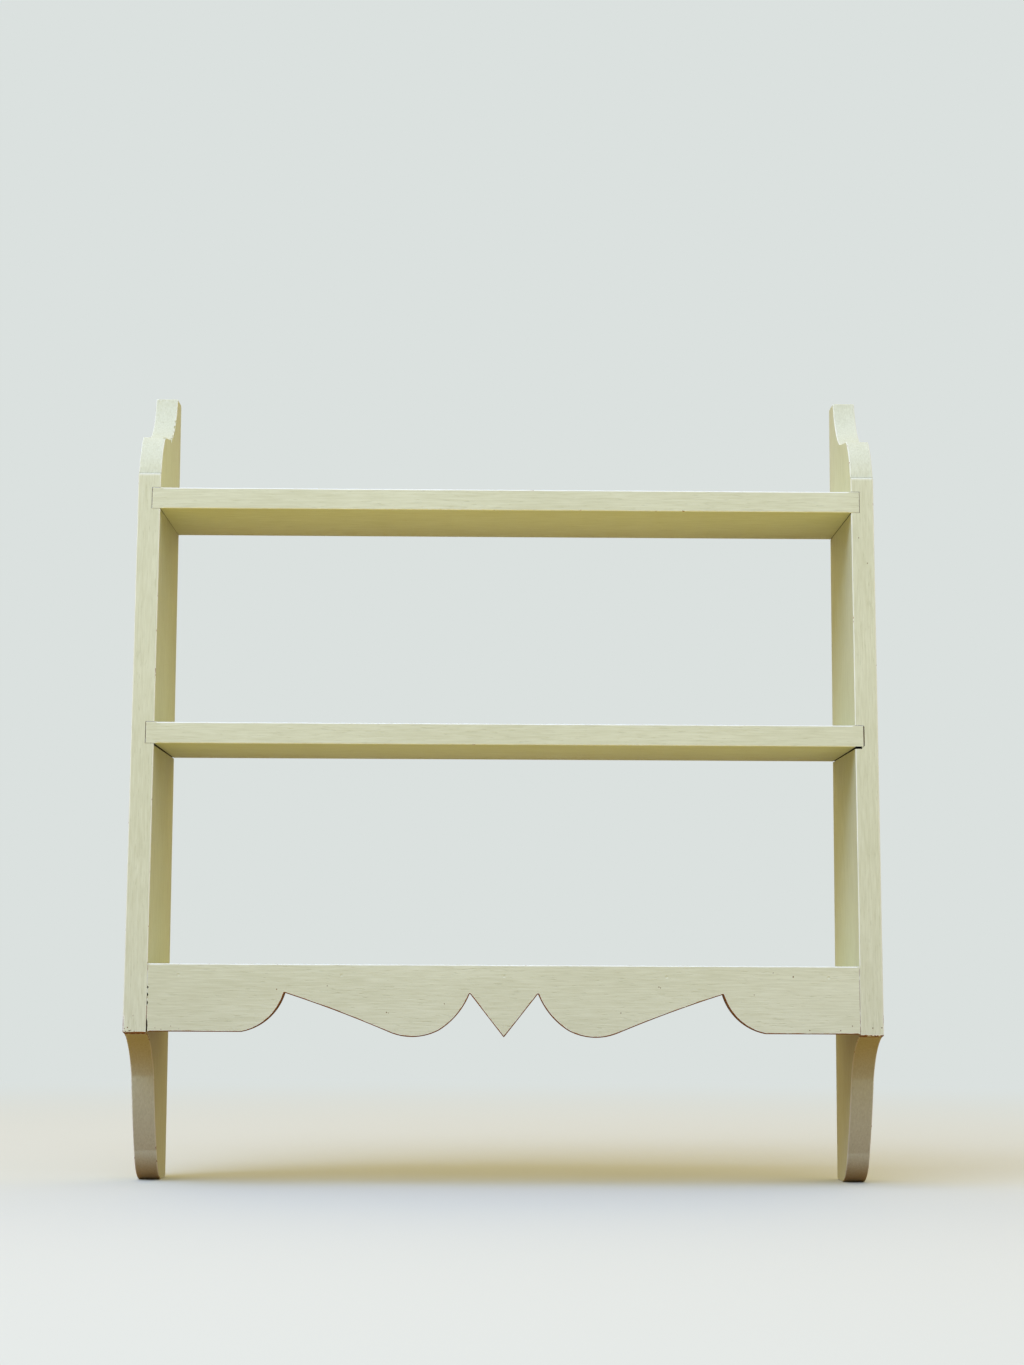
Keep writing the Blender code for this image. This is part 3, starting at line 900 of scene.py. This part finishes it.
class WALLSHELF_OT_shelves(bpy.types.Operator):
    """Make the three shelves, with the recesses that take the hanger plates"""

    bl_idname = "wall_shelf.make_shelves"
    bl_label = "Make Shelves"

    def execute(self, context):
        boards = context.scene.wall_shelf.boards
        paint, pine, dust_and_shade = woods(0)
        for seed, (name, (low, high)) in enumerate(SHELF_BOXES.items()):
            depth = -low.y
            set_back = front_depth(low.z) - depth
            corners = [(-SHELF_REACH, 0), (SHELF_REACH, 0), (SHELF_REACH, depth), (-SHELF_REACH, depth)]
            outline = finely(softened(corners, boards.arris / 2))

            def place(x, from_wall, rise, low=low, depth=depth, set_back=set_back):
                z = low.z + rise
                return (x, -from_wall / depth * (front_depth(z) - set_back), z)

            bm = bmesh.new()
            add_board(
                bm,
                [self.strayed(point, depth, boards.wander, seed) for point in outline],
                place,
                high.z - low.z,
                lambda point, face, name=name, seed=seed: self.rounding(point, face, name, seed, boards),
                lambda point, share, name=name, depth=depth: self.worn(point, share, name, depth),
            )
            piece = new_piece(f"{name}_shelf_board", bm, paint)
            nails = [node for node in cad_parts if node.endswith("nail") and node.startswith(name)]
            cutters = [
                fastener_holes("nail_holes", nails, 0, boards.joint_gap, pine),
                self.reliefs(name, low, dust_and_shade),
            ]
            if name == "top":
                cutters.append(self.recesses(boards, pine))
                screws = [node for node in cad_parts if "hanger_screw" in node]
                cutters.append(fastener_holes("screw_holes", screws, 1, boards.joint_gap, pine))
            if name == "bottom":
                pins = [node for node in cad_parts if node.startswith("apron_pin")]
                cutters.append(fastener_holes("pin_holes", pins, 1, boards.joint_gap, pine))
            carve(piece, cutters)
            settle(piece, "painted_wood", f"{name}_shelf")
        return {"FINISHED"}

    @staticmethod
    def strayed(point, depth, wander, seed):
        """A point of the front edge, moved back a little; the back edge and the ends stay straight."""
        return Vector((point.x, point.y * (1 - wander / depth * waver(point, pitch=0.06, seed=seed + 20))))

    @staticmethod
    def rounding(point, face, name, seed, boards):
        """Arris radius: uneven in front and behind, more on top, and set for each end in its housing."""
        if abs(point.x) > SHELF_REACH - END_BAND:
            return JOINTS[name, math.copysign(1, point.x)].corner
        if abs(point.x) > INNER_HALF - POINT_SPACING:
            return 0.3 * boards.arris
        uneven = waver(point, pitch=0.025, seed=seed + 3 * face + 11)
        return boards.arris * (0.75 + 0.25 * face + 0.5 * uneven)

    @staticmethod
    def worn(point, share, name, depth):
        """Rubbing: along the outlines of the ends, a little in front, and more against the wall."""
        on_arris = math.sin(math.tau * share) ** 2
        if abs(point.x) > SHELF_REACH - END_BAND:
            return JOINTS[name, math.copysign(1, point.x)].rubbing
        if abs(point.x) > INNER_HALF:
            return 0.3 * on_arris
        return (0.16 if point.y > depth / 2 else 0.35) * on_arris

    @staticmethod
    def reliefs(name, low, material):
        """Cutter of thin hollows in the shelf's underside over the open gaps, lined with dust and painted
        shade.
        """
        bm = bmesh.new()
        for sign in (-1, 1):
            front = low.y + JOINTS[name, sign].start
            inner, outer = INNER_HALF + RELIEF_INSET, INNER_HALF + GAP_DEPTH
            corners = [(inner, low.z - CUT_REACH), (outer, low.z - CUT_REACH)]
            corners += [(outer, low.z + GAP_RELIEF), (inner, low.z + GAP_RELIEF)]
            add_prism(bm, *([(sign * x, y, z) for x, z in corners] for y in (CUT_REACH, front)))
        return new_piece("gap_reliefs", bm, material)

    @staticmethod
    def recesses(boards, material):
        """Cutter of the shallow recesses that the hanger plates lie in."""
        bm = bmesh.new()
        for side in ("left", "right"):
            low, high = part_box(f"{side}_hanger_plate")
            gap = boards.joint_gap
            corners = [(low.x - gap, low.z - gap), (high.x + gap, low.z - gap)]
            corners += [(high.x + gap, SHELF_TOP + CUT_REACH), (low.x - gap, SHELF_TOP + CUT_REACH)]
            add_prism(bm, *([(x, y, z) for x, z in corners] for y in (CUT_REACH, low.y - gap)))
        return new_piece("hanger_recesses", bm, material)


class WALLSHELF_OT_apron(bpy.types.Operator):
    """Make the apron, with its fretted lower edge worn to the wood"""

    bl_idname = "wall_shelf.make_apron"
    bl_label = "Make Apron"

    def execute(self, context):
        boards = context.scene.wall_shelf.boards
        paint, pine, dust_and_shade = woods(0)
        bm = bmesh.new()
        add_board(
            bm,
            finely(softened(apron_outline(), boards.corner / 2)),
            lambda x, z, sink: (x, sink - front_depth(z), z),
            APRON_THICKNESS,
            lambda point, face: self.rounding(point, face, boards),
            self.worn,
        )
        piece = new_piece("apron_board", bm, paint)
        pins = [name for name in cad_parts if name.startswith("apron_pin")]
        dimples = bmesh.new()
        for name in pins:
            low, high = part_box(name)
            middle = (low + high) / 2
            spot = (middle.x, -front_depth(middle.z), middle.z)
            add_dimple(dimples, spot, (0, 1, 0), PIN_HOLLOW, boards.dimple)
        pits = bmesh.new()
        for x, z, radius in APRON_PITS:
            spot = (x, -front_depth(z), z)
            add_dimple(pits, spot, (0, 1, 0), APRON_PIT_WIDTH * radius, APRON_PIT_DEPTH * radius)
        cutters = [
            fastener_holes("pin_holes", pins, 1, boards.joint_gap, pine),
            new_piece("pin_dimples", dimples, paint),
            new_piece("apron_pits", pits, pine),
            self.cracks(dust_and_shade),
        ]
        carve(piece, cutters)
        settle(piece, "painted_wood", "apron")
        return {"FINISHED"}

    @staticmethod
    def cracks(material):
        """Cutter of the ragged slivers lost along the left butt joint."""
        bm = bmesh.new()
        outer = -APRON_HALF - CRACK_WIDTH
        for start, end in CRACKS:
            head = APRON_TOP + start * (APRON_FOOT - APRON_TOP)
            foot = APRON_TOP + end * (APRON_FOOT - APRON_TOP)
            steps = math.ceil((head - foot) / (POINT_SPACING / 2))
            corners = [(outer, foot), (outer, head)]
            for k in range(steps + 1):
                z = head + (foot - head) * k / steps
                taper = 0.15 + 0.85 * math.sin(math.pi * k / steps)
                ragged = 0.6 + 0.8 * waver((0, z), CRACK_WAVES, seed=41)
                corners.append((-APRON_HALF + CRACK_WIDTH * taper * ragged, z))
            ends = (-APRON_DEPTH - CRACK_WIDTH, -APRON_DEPTH + 3 * CRACK_WIDTH)
            add_prism(bm, *([(x, y, z) for x, z in corners] for y in ends))
        return new_piece("joint_cracks", bm, material)

    @staticmethod
    def rounding(point, face, boards):
        """Arris radius: small at the butt joints, more low in the left one, and uneven elsewhere."""
        if point.x < -APRON_HALF + POINT_SPACING and point.y < APRON_FOOT + OPEN_JOINT:
            return 0.6 * boards.arris
        if abs(point.x) > APRON_HALF - POINT_SPACING:
            return 0.3 * boards.arris
        return boards.arris * (0.95 + 0.5 * waver(point, pitch=0.02, seed=31 + face))

    @staticmethod
    def worn(point, share):
        """Rubbing: the fretted edge has lost its paint in front, and keeps some of it towards the back."""
        on_arris = math.sin(math.tau * share) ** 2
        if point.y > APRON_TOP - TOP_BAND:
            return 0.14 * on_arris
        if abs(point.x) > APRON_HALF - POINT_SPACING:
            cracked = point.x < 0 and point.y < APRON_FOOT + OPEN_JOINT
            return 0.8 if cracked or point.x > 0 else 0.5
        return 1.0 if share < 0.6 else 0.6


class WALLSHELF_OT_hangers(bpy.types.Operator):
    """Make the hanger plates and their slotted screws"""

    bl_idname = "wall_shelf.make_hangers"
    bl_label = "Make Hangers"

    def execute(self, context):
        steel = context.scene.wall_shelf.steel
        zinc = material_of("aged_zinc_plate", dull_metal, steel.zinc, ZINC_SPOTS, ZINC_ROUGHNESS)
        for side in ("left", "right"):
            self.make_plate(side, zinc)
            for number in (1, 2):
                self.make_screw(f"{side}_hanger_screw_{number}", zinc)
        return {"FINISHED"}

    @staticmethod
    def make_plate(side, material):
        """Plate with a straight foot and a round lug, its hanging hole and two countersinks."""
        low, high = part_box(f"{side}_hanger_plate")
        centre = (low.x + high.x) / 2
        half = (high.x - low.x) / 2
        lug = high.z - half
        thickness = high.y - low.y
        outline = [(-half, low.z), (half, low.z), (half, lug)] + arc((half, lug), (-half, lug), -half)
        bm = bmesh.new()
        add_board(
            bm,
            finely(softened(outline, PLATE_CORNER), PLATE_SPACING),
            lambda x, z, sink: (centre + x, high.y - sink, z),
            thickness,
            lambda point, face: PLATE_ARRIS,
            lambda point, share: 0.0,
        )
        piece = new_piece(f"{side}_hanger", bm, material)
        holes = bmesh.new()
        rim = HOLE_RIM
        bore = HANG_BORE
        profile = [(0, -rim), (bore + 2 * rim, -rim), (bore, rim), (bore, thickness - rim)]
        profile += [(bore + 2 * rim, thickness + rim), (0, thickness + rim)]
        add_turned(holes, profile, (centre, high.y, lug), (0, -1, 0))
        for number in (1, 2):
            screw_low, screw_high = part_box(f"{side}_hanger_screw_{number}")
            middle = (screw_low + screw_high) / 2
            head = (screw_high.x - screw_low.x) / 2 + rim
            sink = [(0, -rim), (head + rim, -rim), (head / 2, thickness + rim)]
            sink += [(head / 2, 2 * thickness), (0, 2 * thickness)]
            add_turned(holes, sink, (middle.x, high.y, middle.z), (0, -1, 0))
        carve(piece, [new_piece("plate_holes", holes, material)])
        settle(piece, "hanger_steel", f"{side}_hanger_plate")

    @staticmethod
    def make_screw(node, material):
        """Countersunk wood screw with a slotted head."""
        low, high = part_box(node)
        middle = (low + high) / 2
        head = (high.x - low.x) / 2
        shank = head / 2
        reach = high.y - low.y
        rim = HEAD_SINK + HEAD_CHAMFER / 2
        profile = [(0, HEAD_SINK), (head - HEAD_CHAMFER, HEAD_SINK), (head, rim)]
        profile += [(shank, head * HEAD_TAPER), (shank, reach - SCREW_POINT), (0, reach)]
        bm = bmesh.new()
        add_turned(bm, profile, (middle.x, high.y, middle.z), (0, -1, 0))
        piece = new_piece(f"{node}_slotted", bm, material)
        tilt = Matrix.Rotation(waver((middle.x, middle.z), pitch=0.01, seed=5) * math.pi, 3, "Y")
        slot = bmesh.new()
        ends = []
        half = head * 1.2  # past the head's edge at both ends
        corners = [(-half, SLOT_REACH), (half, SLOT_REACH), (half, -SLOT_DEPTH), (-half, -SLOT_DEPTH)]
        for across in (-SLOT_HALF_WIDTH, SLOT_HALF_WIDTH):
            spots = [tilt @ Vector((along, y, across)) for along, y in corners]
            ends.append([Vector((middle.x, high.y, middle.z)) + spot for spot in spots])
        add_prism(slot, *ends)
        carve(piece, [new_piece("screw_slot", slot, material)])
        settle(piece, "hanger_steel", node)


class WALLSHELF_OT_nails(bpy.types.Operator):
    """Give the frame's nails and pins, sunk in the boards, their bare wire"""

    bl_idname = "wall_shelf.make_nails"
    bl_label = "Make Nails"

    def execute(self, context):
        steel = context.scene.wall_shelf.steel
        wire = material_of("dull_wire", dull_metal, steel.wire, WIRE_SPOTS, WIRE_ROUGHNESS)
        for name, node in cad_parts.items():
            if name.endswith("nail") or name.startswith("apron_pin"):
                for slot in node.material_slots:
                    slot.material = wire
        return {"FINISHED"}


class WALLSHELF_OT_stage(bpy.types.Operator):
    """Make the pale floor, the soft light and the camera"""

    bl_idname = "wall_shelf.make_stage"
    bl_label = "Make Stage"

    camera_place = (-0.0155, -2.1614, -0.39915)
    camera_pitch = 0.1206
    camera_yaw = 0.0103
    camera_roll = 0.0046
    focal_length = 65.83  # mm, on a frame 36 mm high
    floor_half = 12.0
    ground_edge = (-0.16, -0.38)  # y at which the brown ground starts to thin out in front, and is gone
    floor_fade = (0.5, 2.2)  # distances at which the floor starts and ends fading into the backdrop
    softbox_size = (4.4, 2.8)
    softbox_place = Vector((-1.5, -2.8, 3.2))
    softbox_aim = Vector((0, -0.1, -0.2))

    def execute(self, context):
        stage = context.scene.wall_shelf.stage
        self.make_floor(stage)
        self.make_sky(context.scene, stage)
        self.make_key(context.scene, stage)
        self.make_camera(context.scene)
        context.scene.view_settings.view_transform = "Standard"
        return {"FINISHED"}

    def make_floor(self, stage):
        """Wide floor under the soles."""
        bm = bmesh.new()
        bmesh.ops.create_grid(bm, x_segments=1, y_segments=1, size=self.floor_half)
        floor = new_piece("floor", bm, self.floor_paint(stage))
        floor.location.z = SOLE
        floor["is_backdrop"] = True

    def floor_paint(self, stage):
        """Pale matt floor that fades into the backdrop where it is seen, and is clear from below.

        Light meets a brown ground round the feet and behind, and passes through it farther out in front.
        """
        material, tree, shader = new_material("matt_floor")
        tree.nodes.remove(shader)
        clear = add(tree, "ShaderNodeBsdfTransparent").outputs[0]
        place = add(tree, "ShaderNodeTexCoord").outputs["Object"]
        y = add(tree, "ShaderNodeSeparateXYZ", {0: place}).outputs["Y"]
        start, end = self.ground_edge
        away = add(tree, "ShaderNodeMapRange", {0: y, 1: start, 2: end, 3: 0.0, 4: 1.0}).outputs[0]
        ground = add(tree, "ShaderNodeBsdfDiffuse", {"Color": (*stage.ground, 1)}).outputs[0]
        lit = add(tree, "ShaderNodeMixShader", {0: away, 1: ground, 2: clear}).outputs[0]
        near = add(tree, "ShaderNodeBsdfDiffuse", {"Color": (*stage.floor, 1)}).outputs[0]
        far = add(tree, "ShaderNodeEmission", {"Color": (*stage.backdrop, 1), "Strength": 1.0}).outputs[0]
        distance = add(tree, "ShaderNodeVectorMath", {0: place}, operation="LENGTH").outputs["Value"]
        start, end = self.floor_fade
        span = {0: distance, 1: start, 2: end, 3: 0.0, 4: 1.0}
        fade = add(tree, "ShaderNodeMapRange", span, interpolation_type="SMOOTHSTEP").outputs[0]
        shown = add(tree, "ShaderNodeMixShader", {0: fade, 1: near, 2: far}).outputs[0]
        top = add(tree, "ShaderNodeMixShader", {0: seen_rays(tree), 1: lit, 2: shown}).outputs[0]
        below = add(tree, "ShaderNodeNewGeometry").outputs["Backfacing"]
        both = add(tree, "ShaderNodeMixShader", {0: below, 1: top, 2: clear}).outputs[0]
        tree.links.new(both, tree.nodes["Material Output"].inputs["Surface"])
        return material

    @staticmethod
    def make_sky(scene, stage):
        """Dome of soft light, tinted by height and side, behind a plain pale backdrop for what is seen."""
        world = bpy.data.worlds.new("studio")
        world.use_nodes = True
        tree = world.node_tree
        tree.nodes.clear()
        way = add(tree, "ShaderNodeTexCoord").outputs["Generated"]
        x, y, z = add(tree, "ShaderNodeSeparateXYZ", {0: way}).outputs
        across = add(tree, "ShaderNodeMath", {0: x}, operation="ABSOLUTE").outputs[0]
        shade = (*stage.shade, 1)

        # In front, the tone changes with height
        height = add(tree, "ShaderNodeMapRange", {0: z, 1: -1.0, 2: 1.0, 3: 0.0, 4: 1.0}).outputs[0]
        dome = add(tree, "ShaderNodeValToRGB", {0: height})
        stops = dome.color_ramp.elements
        stops[0].position = 0.1
        stops[1].position = 0.95
        for position in (0.35, 0.525, 0.7):
            stops.new(position)
        for stop, tone in zip(stops, (stage.below, stage.bounce, stage.haze, stage.glow, stage.sky)):
            stop.color = (*tone, 1)

        # Behind, it goes from dark at the floor to a warm dusk
        fading = add(tree, "ShaderNodeMapRange", {0: z, 1: 0.05, 2: 0.5, 3: 1.0, 4: 0.9}).outputs[0]
        behind = add(tree, "ShaderNodeMapRange", {0: y, 1: -0.1, 2: 0.6, 3: 0.0, 4: fading}).outputs[0]
        rise = add(tree, "ShaderNodeMapRange", {0: z, 1: 0.0, 2: 0.35, 3: 0.0, 4: 1.0}).outputs[0]
        dusk = (*stage.dusk, 1)
        rear = add(tree, "ShaderNodeMix", {0: rise, 6: shade, 7: dusk}, data_type="RGBA").outputs[2]

        # At the sides, a warm band lies above the floor, and dark below it
        raised = add(tree, "ShaderNodeMapRange", {0: z, 1: 0.0, 2: 0.22, 3: 0.0, 4: 0.85}).outputs[0]
        band = add(tree, "ShaderNodeMapRange", {0: z, 1: 0.4, 2: 0.7, 3: raised, 4: 0.0}).outputs[0]
        aside = add(tree, "ShaderNodeMapRange", {0: across, 1: 0.45, 2: 0.85, 3: 0.0, 4: band}).outputs[0]
        deep = add(tree, "ShaderNodeMapRange", {0: z, 1: 0.0, 2: -0.3, 3: 0.0, 4: 0.8}).outputs[0]
        hollow = add(tree, "ShaderNodeMapRange", {0: across, 1: 0.35, 2: 0.75, 3: 0.0, 4: deep}).outputs[0]

        light = dome.outputs[0]
        for share, tone in ((behind, rear), (aside, (*stage.flank, 1)), (hollow, shade)):
            light = add(tree, "ShaderNodeMix", {0: share, 6: light, 7: tone}, data_type="RGBA").outputs[2]
        soft = add(tree, "ShaderNodeBackground", {0: light, 1: stage.sky_strength}).outputs[0]
        plain = add(tree, "ShaderNodeBackground", {0: (*stage.backdrop, 1), 1: 1.0}).outputs[0]
        mixed = add(tree, "ShaderNodeMixShader", {0: seen_rays(tree), 1: soft, 2: plain})
        add(tree, "ShaderNodeOutputWorld", {"Surface": mixed.outputs[0]})
        scene.world = world

    def make_key(self, scene, stage):
        """Softbox in front, above and a little to the left."""
        lamp = bpy.data.lights.new("softbox", "AREA")
        lamp.energy = stage.key_watts
        lamp.shape = "RECTANGLE"
        lamp.size, lamp.size_y = self.softbox_size
        lamp.color = stage.key
        softbox = bpy.data.objects.new("softbox", lamp)
        scene.collection.objects.link(softbox)
        softbox.location = self.softbox_place
        way = self.softbox_aim - self.softbox_place
        softbox.rotation_euler = way.to_track_quat("-Z", "Y").to_euler()
        softbox.visible_camera = False

    def make_camera(self, scene):
        """Camera low in front, fitted to the board edges."""
        lens = bpy.data.cameras.new("camera")
        lens.lens = self.focal_length
        camera = bpy.data.objects.new("camera", lens)
        scene.collection.objects.link(camera)
        camera.matrix_world = (
            Matrix.Translation(self.camera_place)
            @ Matrix.Rotation(-self.camera_yaw, 4, "Z")
            @ Matrix.Rotation(math.pi / 2 + self.camera_pitch, 4, "X")
            @ Matrix.Rotation(self.camera_roll, 4, "Z")
        )
        scene.camera = camera


class VIEW3D_PT_wall_shelf(bpy.types.Panel):
    """Sizes and colours of the shelf, and the steps that make it"""

    bl_space_type = "VIEW_3D"
    bl_region_type = "UI"
    bl_category = "Wall Shelf"
    bl_label = "Wall Shelf"

    def draw(self, context):
        settings = context.scene.wall_shelf
        for title, group in (
            ("Boards", settings.boards),
            ("Paint", settings.paint),
            ("Steel", settings.steel),
            ("Stage", settings.stage),
        ):
            box = self.layout.box()
            box.label(text=title)
            for name in group.__annotations__:
                box.prop(group, name)
        for operator in OPERATORS:
            self.layout.operator(operator.bl_idname)


OPERATORS = (
    WALLSHELF_OT_sides,
    WALLSHELF_OT_shelves,
    WALLSHELF_OT_apron,
    WALLSHELF_OT_hangers,
    WALLSHELF_OT_nails,
    WALLSHELF_OT_stage,
)
CLASSES = (
    WallShelfBoards,
    WallShelfPaint,
    WallShelfSteel,
    WallShelfStage,
    WallShelfSettings,
    *OPERATORS,
    VIEW3D_PT_wall_shelf,
)


def register():
    for cls in CLASSES:
        bpy.utils.register_class(cls)
    bpy.types.Scene.wall_shelf = PointerProperty(type=WallShelfSettings)


def unregister():
    del bpy.types.Scene.wall_shelf
    for cls in reversed(CLASSES):
        bpy.utils.unregister_class(cls)


def main():
    register()
    bpy.ops.wall_shelf.make_sides()
    bpy.ops.wall_shelf.make_shelves()
    bpy.ops.wall_shelf.make_apron()
    bpy.ops.wall_shelf.make_hangers()
    bpy.ops.wall_shelf.make_nails()
    bpy.ops.wall_shelf.make_stage()
    boxes = {"cad": CAD_BOX, "visual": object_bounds()}
    {name: [list(corner) for corner in box] for name, box in boxes.items()}


if __name__ == "__main__":
    main()
